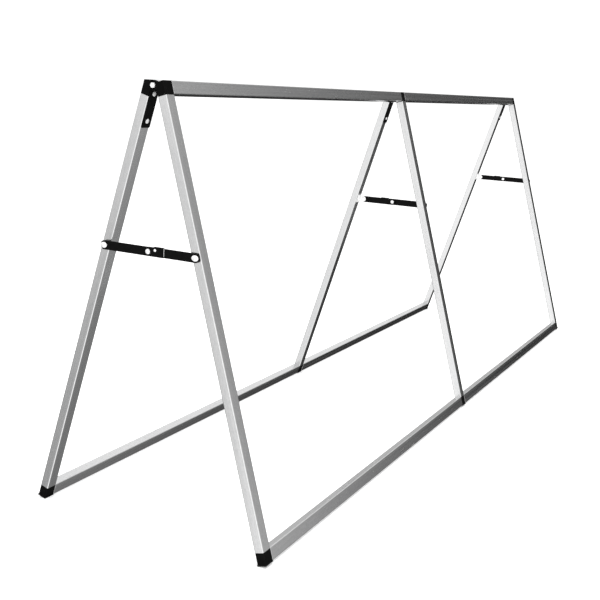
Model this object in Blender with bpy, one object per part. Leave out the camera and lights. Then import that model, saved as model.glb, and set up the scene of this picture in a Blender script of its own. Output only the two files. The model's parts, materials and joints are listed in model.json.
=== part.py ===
"""Folding A-frame sign stand: two tube frames hinged along their top rails, held open by three folding stays.

The stand lies along X, opens along Y and stands on Z = 0. Left is -X, the front frame is at -Y.
Each frame is modelled in its own axes with the hinge line through the origin: x along the rails, y out of the
frame's outer face, z up the leg. The front frame is the rear frame turned half a turn about the vertical.
"""

import math

import bmesh
import bpy

# Frames
LENGTH = 2.500
LEG_LENGTH = 1.0028
HALF_ANGLE = math.radians(16.45)
TUBE_WIDTH = 0.028
TUBE_DEPTH = 0.0215
TUBE_WALL = 0.0015
TUBE_CORNER = 0.0020
GAP = 0.0003
LOOSE = 0.0003

# Connectors: the block between two tubes, and the spigots inside them
BLOCK_INSET = 0.0009
TOP_BLOCK_HEIGHT = 0.0288
BOTTOM_BLOCK_TOP = 0.0273
TOP_RAIL_PROUD = 0.0005
BOTTOM_RAIL_UP = 0.0006
SPIGOT_LENGTH = 0.045
SPIGOT_BITE = 0.001

# Hinge. The rear lugs are level on top with the outer corner of their block, the front ones are round.
PIVOT_BELOW_TOP = 0.0041
PIVOT_INSIDE = 0.0046
REAR_LUG_RADIUS = 0.0106
REAR_LUG_SHOULDER = 0.0235
FRONT_LUG_RADIUS = 0.009
FRONT_LUG_SHOULDER = 0.0095
RELIEF_CLEARANCE = 0.0006
RELIEF_OVERRUN = 0.001
LUG_STEPS = 12
LUG_THICK = 0.006
TEE_LUG_THICK = 0.004
BOLT_RADIUS = 0.003
BOLT_HEAD_FLATS = 0.010
BOLT_HEAD_HEIGHT = 0.004
BOLT_CHAMFER = 0.0005
BOLT_PAST_NUT = 0.0015
NUT_HEIGHT = 0.006

# Strap under each hinge, on the rear legs
STRAP_TOP = 0.0150
STRAP_LENGTH = 0.080
STRAP_THICK = 0.0018
STRAP_CORNER = 0.003
STRAP_SCREWS = (0.023, 0.0805)
SCREW_RADIUS = 0.002
SCREW_HEAD_RADIUS = 0.005
SCREW_HEAD_HEIGHT = 0.0018
SCREW_DEPTH = 0.0105
SINK = 0.0002

# Foot pads
PAD_UNDER = 0.0008
PAD_TOP = 0.0019
PAD_LIP = 0.0008

# Folding stays
STAY_UP_LEG = 0.6438
BAR_HALF = 0.0098
BAR_THICK = 0.002
LAP_BEYOND = 0.0395
LAP_STEP = 0.010
LAP_CHAMFER = 0.003
LIP_START = 0.014
LIP_THICK = 0.0012
STUD_BEYOND = 0.0175
STUD_UP = 0.0042
STUD_HEIGHT = 0.0016
STUD_HEAD_RADIUS = 0.0030
STUD_RADIUS = 0.0015
RIVET_RADIUS = 0.003
RIVET_HEAD_RADIUS = 0.0062
RIVET_HEAD_STRETCH = 0.3
SHOULDER_RADIUS = 0.0040
TAIL_RADIUS = 0.0053
TAIL_NARROW = 0.0040
TAIL_HEIGHT = 0.0020
TAIL_STEP = 0.0012
BLIND_RADIUS = 0.0043
BLIND_END = 0.0040
MIDDLE_HEAD_RADIUS = 0.0056
LEFT_RIVET_REACH = 0.0105
RIGHT_RIVET_REACH = 0.0127
LEFT_OUTER_BAR = 0.0049
LEFT_INNER_BAR = 0.0026
RIGHT_OUTER_BAR = 0.0077
RIGHT_INNER_BAR = 0.0041
HOLE_OVERRUN = 0.001
BAR_END_STEPS = 8

# L brackets of the middle and right stays
BRACKET_THICK = 0.002
BRACKET_OFF_LEG = 0.0018
BRACKET_HALF = 0.012
BRACKET_PIVOT_INSIDE = 0.010
BRACKET_END_RADIUS = 0.0086
BRACKET_REACH = 0.011
BRACKET_RIVET_SPREAD = 0.007
BRACKET_RIVET_HEAD = (0.0018, 0.0042)
BRACKET_PIN_HEAD = 0.0055
BRACKET_PIN_TAIL = 0.001

ROUND = 16
SMALL_ROUND = 12
FINE_ROUND = 24
SHARP_ANGLE = math.radians(35)

# Worked out from the driving dimensions
PIVOT_UP = LEG_LENGTH - PIVOT_BELOW_TOP
PIVOT_Z = PIVOT_UP * math.cos(HALF_ANGLE) - PIVOT_INSIDE * math.sin(HALF_ANGLE)
HALF_WIDTH = TUBE_WIDTH / 2
LEG_X = LENGTH / 2 - HALF_WIDTH
TUBE_Y = PIVOT_INSIDE + TUBE_DEPTH / 2
COLUMNS = {"left": -LEG_X, "middle": 0.0, "right": LEG_X}

FINISHES = {
    "aluminium": ((0.78, 0.79, 0.80), 0.32, 1.0),
    "plastic": ((0.018, 0.018, 0.020), 0.45, 0.0),
    "black_steel": ((0.020, 0.020, 0.022), 0.40, 0.0),
    "zinc": ((0.80, 0.80, 0.78), 0.25, 1.0),
    "rubber": ((0.012, 0.012, 0.012), 0.80, 0.0),
}


def material(name, finish):
    colour, roughness, metallic = FINISHES[finish]
    made = bpy.data.materials.new(name)
    made.use_nodes = True
    shader = made.node_tree.nodes["Principled BSDF"]
    shader.inputs["Base Color"].default_value = (*colour, 1.0)
    shader.inputs["Roughness"].default_value = roughness
    shader.inputs["Metallic"].default_value = metallic
    return made


def add_object(name, shape, finish, parent=None, location=(0, 0, 0), smooth=False):
    bmesh.ops.recalc_face_normals(shape, faces=shape.faces)
    mesh = bpy.data.meshes.new(name)
    shape.to_mesh(mesh)
    shape.free()
    if smooth:
        mesh.shade_smooth()
        mesh.set_sharp_from_angle(angle=SHARP_ANGLE)
    if finish:
        mesh.materials.append(material(name, finish))
    piece = bpy.data.objects.new(name, mesh)
    piece.parent = parent
    piece.location = location
    bpy.context.scene.collection.objects.link(piece)
    return piece


def boolean(piece, operation, shape, parent=None):
    tool = add_object(f"{piece.name}_{operation.lower()}_{len(piece.modifiers)}", shape, None, parent)
    tool.hide_render = True
    tool.display_type = "WIRE"
    step = piece.modifiers.new(operation.title(), "BOOLEAN")
    step.operation = operation
    step.solver = "EXACT"
    step.object = tool


def loft(shape, rings, closed=False):
    """Skin rings of points in turn. A ring of one point is a pole; a closed loft joins its two end rings."""
    made = [[shape.verts.new(point) for point in ring] for ring in rings]
    pairs = list(zip(made, made[1:]))
    if closed:
        pairs.append((made[-1], made[0]))
    for lower, upper in pairs:
        count = max(len(lower), len(upper))
        for index in range(count):
            after = (index + 1) % count
            corners = [lower[index % len(lower)], lower[after % len(lower)]]
            corners += [upper[after % len(upper)], upper[index % len(upper)]]
            shape.faces.new(dict.fromkeys(corners))
    if not closed:
        for end in (made[0], made[-1]):
            if len(end) > 2:
                shape.faces.new(end)


def rounded_rectangle(half_a, half_b, radius, steps=2):
    points = []
    for corner, (sign_a, sign_b) in enumerate(((1, 1), (-1, 1), (-1, -1), (1, -1))):
        for step in range(steps + 1):
            angle = math.radians(90 * (corner + step / steps))
            a = sign_a * (half_a - radius) + radius * math.cos(angle)
            b = sign_b * (half_b - radius) + radius * math.sin(angle)
            points.append((a, b))
    return points


def circle(radius, count=ROUND):
    if radius == 0:
        return [(0.0, 0.0)]
    turns = [2 * math.pi * index / count for index in range(count)]
    return [(radius * math.cos(turn), radius * math.sin(turn)) for turn in turns]


def hexagon(across_flats, count=FINE_ROUND):
    points = []
    for index in range(count):
        turn = 2 * math.pi * index / count
        from_flat = (turn + math.pi / 6) % (math.pi / 3) - math.pi / 6
        radius = across_flats / 2 / math.cos(from_flat)
        points.append((radius * math.cos(turn), radius * math.sin(turn)))
    return points


def turned(shape, profile, centre, axis="x", sign=1, count=ROUND):
    """A solid of revolution from (distance along the axis, radius) pairs."""
    rings = []
    for along, radius in profile:
        ring = circle(radius, count)
        if axis == "x":
            rings.append([(centre[0] + sign * along, centre[1] + a, centre[2] + b) for a, b in ring])
        else:
            rings.append([(centre[0] + a, centre[1] + sign * along, centre[2] + b) for a, b in ring])
    loft(shape, rings)


def rod(shape, radius, start, end, centre, axis="x", sign=1):
    turned(shape, [(start, radius), (end, radius)], centre, axis, sign)


def slab(shape, outline, low, high):
    """A flat plate: an outline of (y, z) points between two places along x."""
    loft(shape, [[(x, y, z) for y, z in outline] for x in (low, high)])


def block(shape, low, high):
    """A box between two opposite corners."""
    rings = []
    for z in (low[2], high[2]):
        rings.append([(low[0], low[1], z), (high[0], low[1], z), (high[0], high[1], z), (low[0], high[1], z)])
    loft(shape, rings)


def up(height):
    """The frame z of a height measured up the leg from the floor."""
    return height - PIVOT_UP


def in_world(y, z, side):
    """World (y, z) of a point given in frame axes; side is 1 for the rear frame and -1 for the front one."""
    world_y = y * math.cos(HALF_ANGLE) - z * math.sin(HALF_ANGLE)
    world_z = PIVOT_Z + y * math.sin(HALF_ANGLE) + z * math.cos(HALF_ANGLE)
    return side * world_y, world_z


def frame_axes(name, turn):
    axes = bpy.data.objects.new(name, None)
    axes.location = (0, 0, PIVOT_Z)
    axes.rotation_euler = (HALF_ANGLE, 0, turn)
    bpy.context.scene.collection.objects.link(axes)
    return axes


def tube_rings(place, start, end):
    outer = rounded_rectangle(HALF_WIDTH, TUBE_DEPTH / 2, TUBE_CORNER)
    inner = rounded_rectangle(HALF_WIDTH - TUBE_WALL, TUBE_DEPTH / 2 - TUBE_WALL, TUBE_CORNER / 4)
    order = ((outer, start), (outer, end), (inner, end), (inner, start))
    return [[place(a, b, along) for a, b in profile] for profile, along in order]


def leg(name, axes, x):
    shape = bmesh.new()
    bottom = up(BOTTOM_BLOCK_TOP + GAP)
    top = up(LEG_LENGTH - TOP_BLOCK_HEIGHT - GAP)
    loft(shape, tube_rings(lambda a, b, z: (x + a, TUBE_Y + b, z), bottom, top), closed=True)
    return add_object(name, shape, "aluminium", axes)


def rail(name, axes, start, end, middle_z):
    shape = bmesh.new()
    loft(shape, tube_rings(lambda a, b, x: (x, TUBE_Y + b, middle_z + a), start, end), closed=True)
    return add_object(name, shape, "aluminium", axes)


def connector(name, axes, x, low, high, leg_sign, rail_z, rail_signs):
    """A block with one spigot into the leg and one into each rail."""
    clear = TUBE_WALL + LOOSE
    wide = HALF_WIDTH - clear
    deep = TUBE_DEPTH / 2 - clear
    block_deep = TUBE_DEPTH / 2 - BLOCK_INSET
    near, far = (low, high) if leg_sign < 0 else (high, low)
    steps = [(wide, deep, near + leg_sign * SPIGOT_LENGTH), (wide, deep, near)]
    steps += [(HALF_WIDTH, block_deep, near), (HALF_WIDTH, block_deep, far)]
    shape = bmesh.new()
    corners = ((-1, -1), (1, -1), (1, 1), (-1, 1))
    loft(shape, [[(x + i * a, TUBE_Y + j * b, z) for i, j in corners] for a, b, z in steps])
    piece = add_object(name, shape, "plastic", axes)
    side_spigots = bmesh.new()
    for sign in rail_signs:
        ends = sorted((x + sign * (HALF_WIDTH - SPIGOT_BITE), x + sign * (HALF_WIDTH + SPIGOT_LENGTH)))
        block(side_spigots, (ends[0], TUBE_Y - deep, rail_z - wide), (ends[1], TUBE_Y + deep, rail_z + wide))
    return piece, side_spigots


def lug_outline(radius, shoulder):
    """Round eye about the hinge line; a line touching it meets the block's top at the shoulder."""
    top = PIVOT_BELOW_TOP
    tangent = math.atan2(top, shoulder) + math.acos(radius / math.hypot(top, shoulder))
    sweep = 3 * math.pi / 2 - tangent
    turns = [tangent + sweep * step / LUG_STEPS for step in range(LUG_STEPS + 1)]
    points = [(radius * math.cos(turn), radius * math.sin(turn)) for turn in turns]
    return points + [(shoulder, -radius), (shoulder, top)]


def top_connector(name, axes, x, rail_signs, lug, outline, relief_radius):
    """A connector whose lug, between two places along x, takes the hinge bolt; the rest is cut clear of it."""
    low = up(LEG_LENGTH - TOP_BLOCK_HEIGHT)
    rail_z = up(LEG_LENGTH + TOP_RAIL_PROUD - HALF_WIDTH)
    piece, added = connector(name, axes, x, low, up(LEG_LENGTH), -1, rail_z, rail_signs)
    relief = bmesh.new()
    if lug[0] > -HALF_WIDTH:
        rod(relief, relief_radius, -HALF_WIDTH - RELIEF_OVERRUN, lug[0], (x, 0, 0))
    rod(relief, relief_radius, lug[1], HALF_WIDTH + RELIEF_OVERRUN, (x, 0, 0))
    boolean(piece, "DIFFERENCE", relief, axes)
    slab(added, outline, x + lug[0], x + lug[1])
    boolean(piece, "UNION", added, axes)
    holes = bmesh.new()
    rod(holes, BOLT_RADIUS + LOOSE, lug[0] - GAP, lug[1] + GAP, (x, 0, 0))
    boolean(piece, "DIFFERENCE", holes, axes)
    return piece


def foot_pad(name, axes, x, outer_sign):
    """A pad cut square to the leg, with its inner edge cut level so that it lies flat on the floor."""
    inner = PIVOT_INSIDE - PAD_LIP
    outer = PIVOT_INSIDE + TUBE_DEPTH + PAD_LIP
    level_end = PIVOT_INSIDE + PAD_UNDER / math.tan(HALF_ANGLE)
    outline = [
        (inner, up(PAD_LIP * math.tan(HALF_ANGLE))),
        (level_end, up(-PAD_UNDER)),
        (outer, up(-PAD_UNDER)),
        (outer, up(PAD_TOP)),
        (inner, up(PAD_TOP)),
    ]
    low = x - HALF_WIDTH - (PAD_LIP if outer_sign < 0 else 0)
    high = x + HALF_WIDTH + (PAD_LIP if outer_sign > 0 else 0)
    shape = bmesh.new()
    slab(shape, outline, low, high)
    return add_object(name, shape, "rubber", axes)


def build_frame(prefix, axes, side):
    """One whole frame. Its names go by the world's left and right, which the front frame's own axes reverse."""
    bottom_z = up(BOTTOM_RAIL_UP + HALF_WIDTH)
    top_z = up(LEG_LENGTH + TOP_RAIL_PROUD - HALF_WIDTH)
    rear_lug = (REAR_LUG_RADIUS, REAR_LUG_SHOULDER)
    front_lug = (FRONT_LUG_RADIUS, FRONT_LUG_SHOULDER)
    own, other = (rear_lug, front_lug) if side > 0 else (front_lug, rear_lug)
    outline = lug_outline(*own)
    relief = other[0] + RELIEF_CLEARANCE
    pieces = {}
    inner_lug = (HALF_WIDTH - 2 * LUG_THICK - GAP, HALF_WIDTH - LUG_THICK - GAP)
    lugs = {-1: (-HALF_WIDTH, LUG_THICK - HALF_WIDTH), 0: (-TEE_LUG_THICK - GAP / 2, -GAP / 2), 1: inner_lug}
    for column, world_x in COLUMNS.items():
        x = side * world_x
        end = 0 if column == "middle" else int(math.copysign(1, x))
        kind = "tee" if end == 0 else f"corner_{column}"
        inward = (-1, 1) if end == 0 else (-end,)
        pieces[f"leg_{column}"] = leg(f"{prefix}_leg_{column}", axes, x)
        top = top_connector(f"{prefix}_top_{kind}", axes, x, inward, lugs[end], outline, relief)
        pieces[f"top_{column}"] = top
        low, high = up(PAD_TOP + GAP), up(BOTTOM_BLOCK_TOP)
        bottom, spigots = connector(f"{prefix}_bottom_{kind}", axes, x, low, high, 1, bottom_z, inward)
        boolean(bottom, "UNION", spigots, axes)
        foot_pad(f"{prefix}_foot_pad_{column}", axes, x, end)
    for half, sign in (("left", -side), ("right", side)):
        ends = sorted((sign * (HALF_WIDTH + GAP), sign * (LEG_X - HALF_WIDTH - GAP)))
        rail(f"{prefix}_top_rail_{half}", axes, *ends, top_z)
        rail(f"{prefix}_bottom_rail_{half}", axes, *ends, bottom_z)
    return pieces


def hinge_bolt(name, x, sign, grip_start, grip_end):
    """A hex-head bolt along X; the lugs fill the grip, measured from the leg's middle away from the head."""
    head_inner = grip_start - GAP
    shank_end = grip_end + GAP + NUT_HEIGHT + BOLT_PAST_NUT
    stations = [
        (hexagon(BOLT_HEAD_FLATS - 2 * BOLT_CHAMFER), head_inner - BOLT_HEAD_HEIGHT),
        (hexagon(BOLT_HEAD_FLATS), head_inner - BOLT_HEAD_HEIGHT + BOLT_CHAMFER),
        (hexagon(BOLT_HEAD_FLATS), head_inner),
        (circle(BOLT_RADIUS, FINE_ROUND), head_inner),
        (circle(BOLT_RADIUS, FINE_ROUND), shank_end),
    ]
    shape = bmesh.new()
    loft(shape, [[(sign * along, a, b) for a, b in ring] for ring, along in stations])
    return add_object(name, shape, "zinc", location=(x, 0, PIVOT_Z), smooth=True)


def lock_nut(name, x, sign, start):
    stations = [
        (hexagon(BOLT_HEAD_FLATS), start),
        (hexagon(BOLT_HEAD_FLATS), start + NUT_HEIGHT),
        (circle(BOLT_RADIUS + LOOSE, FINE_ROUND), start + NUT_HEIGHT),
        (circle(BOLT_RADIUS + LOOSE, FINE_ROUND), start),
    ]
    shape = bmesh.new()
    loft(shape, [[(sign * along, a, b) for a, b in ring] for ring, along in stations], closed=True)
    return add_object(name, shape, "zinc", location=(x, 0, PIVOT_Z), smooth=True)


def build_hinges():
    end_grip = (-HALF_WIDTH, 2 * LUG_THICK + GAP - HALF_WIDTH)
    tee_grip = (-TEE_LUG_THICK - GAP / 2, TEE_LUG_THICK + GAP / 2)
    for column, x in COLUMNS.items():
        sign = -1 if column == "right" else 1
        grip = tee_grip if column == "middle" else end_grip
        hinge_bolt(f"hinge_bolt_{column}", x, sign, *grip)
        lock_nut(f"hinge_nut_{column}", x, sign, grip[1] + GAP)


def drill(piece, axes, places):
    """Screw holes into a piece's inner face, at (x, z) places in frame axes."""
    holes = bmesh.new()
    for x, z in places:
        rod(holes, SCREW_RADIUS + LOOSE, 0, SCREW_DEPTH + GAP, (x, 0, z), "y")
    boolean(piece, "DIFFERENCE", holes, axes)


def pan_head(outer, head_height, head_radius, shank_radius, shank_end):
    """Profile of a round-head screw or rivet: head out from a face at distance outer, shank back to an end."""
    return [
        (shank_end, 0),
        (shank_end, shank_radius),
        (outer, shank_radius),
        (outer, head_radius),
        (outer + head_height * 0.45, head_radius),
        (outer + head_height * 0.85, head_radius * 0.72),
        (outer + head_height, head_radius * 0.3),
        (outer + head_height, 0),
    ]


def build_straps(axes, frame):
    """The strap under each hinge, one piece with its two screws, which enter the top connector and the leg."""
    face = PIVOT_INSIDE - GAP
    seat = face - STRAP_THICK
    for column, x in COLUMNS.items():
        shape = bmesh.new()
        outline = rounded_rectangle(HALF_WIDTH, STRAP_LENGTH / 2, STRAP_CORNER)
        middle = up(LEG_LENGTH - STRAP_TOP - STRAP_LENGTH / 2)
        loft(shape, [[(x + a, y, middle + b) for a, b in outline] for y in (seat, face)])
        strap = add_object(f"hinge_strap_{column}", shape, "black_steel", axes)
        places = [(x, up(LEG_LENGTH - below)) for below in STRAP_SCREWS]
        drill(frame[f"top_{column}"], axes, places[:1])
        drill(frame[f"leg_{column}"], axes, places[1:])
        screws = bmesh.new()
        profile = pan_head(-SINK, SCREW_HEAD_HEIGHT + SINK, SCREW_HEAD_RADIUS, SCREW_RADIUS, seat - SCREW_DEPTH)
        for place_x, z in places:
            turned(screws, profile, (place_x, seat, z), "y", -1)
        boolean(strap, "UNION", screws, axes)


def hull(points):
    """Convex outline of some (y, z) points."""
    def chain(ordered):
        kept = []
        for point in ordered:
            while len(kept) > 1:
                (a, b), (c, d) = kept[-2:]
                if (c - a) * (point[1] - b) - (d - b) * (point[0] - a) > 1e-12:
                    break
                kept.pop()
            kept.append(point)
        return kept[:-1]
    ordered = sorted(set(points))
    return chain(ordered) + chain(ordered[::-1])


def build_brackets(axes, frame, pivot):
    """L brackets riveted to the inner faces of two rear legs; the flange of each carries an inner bar."""
    face = PIVOT_INSIDE - GAP
    seat = face - BRACKET_THICK
    pivot_y, pivot_z = pivot
    rivet_z = [pivot_z + BRACKET_RIVET_SPREAD * sign for sign in (-1, 1)]
    profile = pan_head(-SINK, *BRACKET_RIVET_HEAD, SCREW_RADIUS, seat - SCREW_DEPTH)
    for column in ("middle", "right"):
        x = COLUMNS[column]
        flange_x = x + HALF_WIDTH + BRACKET_OFF_LEG
        plate = bmesh.new()
        low = (x - BRACKET_REACH, seat, pivot_z - BRACKET_HALF)
        block(plate, low, (flange_x + SINK, face, pivot_z + BRACKET_HALF))
        bracket = add_object(f"stay_bracket_{column}", plate, "zinc", axes)
        added = bmesh.new()
        corners = [(y, pivot_z + BRACKET_HALF * sign) for y in (seat, face) for sign in (-1, 1)]
        eye = [(pivot_y + a, pivot_z + b) for a, b in circle(BRACKET_END_RADIUS)]
        slab(added, hull(corners + eye), flange_x, flange_x + BRACKET_THICK)
        for z in rivet_z:
            turned(added, profile, (x, seat, z), "y", -1, SMALL_ROUND)
        boolean(bracket, "UNION", added, axes)
        pin = bmesh.new()
        rod(pin, RIVET_RADIUS + LOOSE, flange_x - SINK, flange_x + BRACKET_THICK + SINK, (0, pivot_y, pivot_z))
        boolean(bracket, "DIFFERENCE", pin, axes)
        drill(frame[f"leg_{column}"], axes, [(x, z) for z in rivet_z])


def bar_outline(reach, lap):
    """Flat bar from its own pivot at the origin to the middle pivot, with round ends; a lap runs on past it."""
    toward = math.copysign(1, reach)
    turns = [math.pi / 2 + math.pi * step / BAR_END_STEPS for step in range(BAR_END_STEPS + 1)]
    points = [(toward * BAR_HALF * math.cos(turn), BAR_HALF * math.sin(turn)) for turn in turns]
    if not lap:
        return points + [(reach - y, -z) for y, z in points]
    raised = BAR_HALF + GAP + LIP_THICK
    end = reach + toward * LAP_BEYOND
    points.append((end - toward * LAP_CHAMFER, -BAR_HALF))
    points.append((end, LAP_CHAMFER - BAR_HALF))
    points.append((end, raised))
    points.append((reach + toward * (LAP_STEP + LAP_CHAMFER), raised))
    points.append((reach + toward * LAP_STEP, BAR_HALF))
    return points


def stay_bar(name, location, layer, reach, outward, lap, spacer):
    """One bar of a folding stay. Its inner face stands off the leg by its layer; outward is -1 or 1 along x.

    A bar with a lap runs past the middle pivot to a lip and a stop stud; the other bar carries the pivot's tail,
    whose shoulder, as thick as the spacer, keeps the two bars apart.
    """
    shape = bmesh.new()
    outer = layer + BAR_THICK
    slab(shape, bar_outline(reach, lap), *sorted((outward * layer, outward * outer)))
    bar = add_object(name, shape, "black_steel", location=location)
    toward = math.copysign(1, reach)
    holes = bmesh.new()
    span = sorted((outward * (layer - HOLE_OVERRUN), outward * (outer + HOLE_OVERRUN)))
    rod(holes, RIVET_RADIUS + LOOSE, *span, (0, 0, 0))
    added = bmesh.new()
    if lap:
        rod(holes, RIVET_RADIUS + LOOSE, *span, (0, reach, 0))
        ends = sorted((reach + toward * LIP_START, reach + toward * (LAP_BEYOND - SINK)))
        across = sorted((outward * (layer + BAR_THICK / 2), outward * (layer - BAR_THICK - GAP)))
        lip_bottom = BAR_HALF + GAP + SINK
        block(added, (across[0], ends[0], lip_bottom), (across[1], ends[1], BAR_HALF + GAP + LIP_THICK))
        stud = pan_head(outer - SINK, STUD_HEIGHT, STUD_HEAD_RADIUS, STUD_RADIUS, layer + SINK)
        turned(added, stud, (0, reach + toward * STUD_BEYOND, STUD_UP), "x", outward, SMALL_ROUND)
    else:
        tail = [
            (layer - TAIL_HEIGHT, 0),
            (layer - TAIL_HEIGHT, TAIL_NARROW),
            (layer - TAIL_STEP, TAIL_RADIUS),
            (layer + SINK, TAIL_RADIUS),
            (layer + SINK, SHOULDER_RADIUS),
            (outer + spacer, SHOULDER_RADIUS),
            (outer + spacer, 0),
        ]
        turned(added, tail, (0, reach, 0), "x", outward)
    boolean(bar, "UNION", added)
    boolean(bar, "DIFFERENCE", holes)
    for modifier in bar.modifiers:
        modifier.object.location = location
    return bar


def end_rivet(name, centre, outward, layer, reach):
    """A shouldered rivet: blind end inside the tube, shoulder out to the bar, oval head on the bar's outer face."""
    head = layer + BAR_THICK + GAP
    head_height = reach - head
    profile = [
        (-BLIND_END, 0),
        (-BLIND_END, TAIL_NARROW),
        (-TUBE_WALL - GAP, BLIND_RADIUS),
        (-TUBE_WALL - GAP, RIVET_RADIUS),
        (GAP, RIVET_RADIUS),
        (GAP, SHOULDER_RADIUS),
        (layer - GAP, SHOULDER_RADIUS),
        (layer - GAP, RIVET_RADIUS),
        (head, RIVET_RADIUS),
        (head, RIVET_HEAD_RADIUS),
        (head + head_height * 0.55, RIVET_HEAD_RADIUS),
        (head + head_height * 0.9, RIVET_HEAD_RADIUS * 0.7),
        (head + head_height, 0),
    ]
    shape = bmesh.new()
    turned(shape, profile, (0, 0, 0), "x", outward)
    for vertex in shape.verts:
        past_shank = math.hypot(vertex.co.y, vertex.co.z) - RIVET_RADIUS
        if outward * vertex.co.x > head - GAP and past_shank > 0:
            vertex.co.y *= 1 + RIVET_HEAD_STRETCH * past_shank / (RIVET_HEAD_RADIUS - RIVET_RADIUS)
    return add_object(name, shape, "zinc", location=centre, smooth=True)


def bracket_rivet(name, centre, outward):
    """A flat rivet, low on both sides, so that the front leg and the outer bar pass it when the stand folds."""
    tail = BRACKET_OFF_LEG - GAP
    head = RIGHT_INNER_BAR + BAR_THICK + GAP
    profile = [
        (tail - BRACKET_PIN_TAIL, 0),
        (tail - BRACKET_PIN_TAIL, SHOULDER_RADIUS),
        (tail, SHOULDER_RADIUS),
        (tail, RIVET_RADIUS),
        (head, RIVET_RADIUS),
        (head, BRACKET_PIN_HEAD),
        (RIGHT_OUTER_BAR - GAP, BRACKET_PIN_HEAD),
        (RIGHT_OUTER_BAR - GAP, 0),
    ]
    shape = bmesh.new()
    turned(shape, profile, (0, 0, 0), "x", outward)
    return add_object(name, shape, "zinc", location=centre, smooth=True)


def middle_rivet(name, centre, outward, layer, reach):
    """The head of the middle pivot, which turns with the outer bar."""
    outer_face = layer + BAR_THICK + GAP
    profile = pan_head(outer_face, reach - outer_face, MIDDLE_HEAD_RADIUS, RIVET_RADIUS, layer)
    shape = bmesh.new()
    turned(shape, profile, (0, 0, 0), "x", outward)
    return add_object(name, shape, "zinc", location=centre, smooth=True)


def drill_leg_side(piece, centre, outward):
    hole = bmesh.new()
    rod(hole, RIVET_RADIUS + LOOSE, -2 * TUBE_WALL, HOLE_OVERRUN, centre, "x", outward)
    boolean(piece, "DIFFERENCE", hole)


def build_stays(front, rear, bracket_pivot):
    """The left stay stands off the legs' left faces; the middle and right ones, turned round, off the right."""
    half_span, stay_z = in_world(TUBE_Y, up(STAY_UP_LEG), 1)
    bracket_y = in_world(*bracket_pivot, 1)[0]
    uneven = math.hypot(TUBE_Y, up(STAY_UP_LEG)) - math.hypot(*bracket_pivot)
    middle_y = (bracket_y - half_span + uneven) / 2

    for column, leg_x in COLUMNS.items():
        outward = -1 if column == "left" else 1
        face = leg_x + outward * HALF_WIDTH
        front_end = (face, -half_span, stay_z)
        name = f"stay_{column}"
        drill_leg_side(front[f"leg_{column}"], front_end, outward)
        if column == "left":
            rear_end = (face, half_span, stay_z)
            outer, inner, rivet_reach = LEFT_OUTER_BAR, LEFT_INNER_BAR, LEFT_RIVET_REACH
            drill_leg_side(rear[f"leg_{column}"], rear_end, outward)
            end_rivet(f"{name}_rear_rivet", rear_end, outward, outer, rivet_reach)
            end_rivet(f"{name}_front_rivet", front_end, outward, inner, rivet_reach + inner - outer)
            stay_bar(f"{name}_rear_bar", rear_end, outer, -half_span, outward, True, 0)
            stay_bar(f"{name}_front_bar", front_end, inner, half_span, outward, False, SINK)
            middle_rivet(f"{name}_middle_rivet", (face, 0, stay_z), outward, outer, rivet_reach)
        else:
            rear_end = (face, bracket_y, stay_z)
            outer, inner, rivet_reach = RIGHT_OUTER_BAR, RIGHT_INNER_BAR, RIGHT_RIVET_REACH
            bracket_rivet(f"{name}_rear_rivet", rear_end, outward)
            end_rivet(f"{name}_front_rivet", front_end, outward, outer, rivet_reach)
            stay_bar(f"{name}_front_bar", front_end, outer, middle_y + half_span, outward, True, 0)
            spacer = outer - inner - BAR_THICK - GAP
            stay_bar(f"{name}_rear_bar", rear_end, inner, middle_y - bracket_y, outward, False, spacer)
            middle_rivet(f"{name}_middle_rivet", (face, middle_y, stay_z), outward, outer, rivet_reach)


def main():
    for old in list(bpy.data.objects):
        bpy.data.objects.remove(old, do_unlink=True)
    rear_axes = frame_axes("rear_frame_axes", 0)
    front_axes = frame_axes("front_frame_axes", math.pi)
    rear = build_frame("rear", rear_axes, 1)
    front = build_frame("front", front_axes, -1)
    build_hinges()
    build_straps(rear_axes, rear)

    stay_drop = PIVOT_Z - in_world(TUBE_Y, up(STAY_UP_LEG), 1)[1]
    pivot_y = PIVOT_INSIDE - BRACKET_PIVOT_INSIDE
    pivot_z = -(stay_drop + pivot_y * math.sin(HALF_ANGLE)) / math.cos(HALF_ANGLE)
    build_stays(front, rear, (pivot_y, pivot_z))
    build_brackets(rear_axes, rear, (pivot_y, pivot_z))


main()
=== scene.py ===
"""Looks of the folding A-frame sign stand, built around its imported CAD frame.

Lengths are in metres. Each tube frame is modelled in its own axes, with the hinge line through
the origin: x along the rails, y out of the frame's outer face, z up the leg. The front frame's
axes are the rear's turned half a turn.
"""

import json
import math

import bmesh
import bpy
from mathutils import Matrix, Vector

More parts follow.
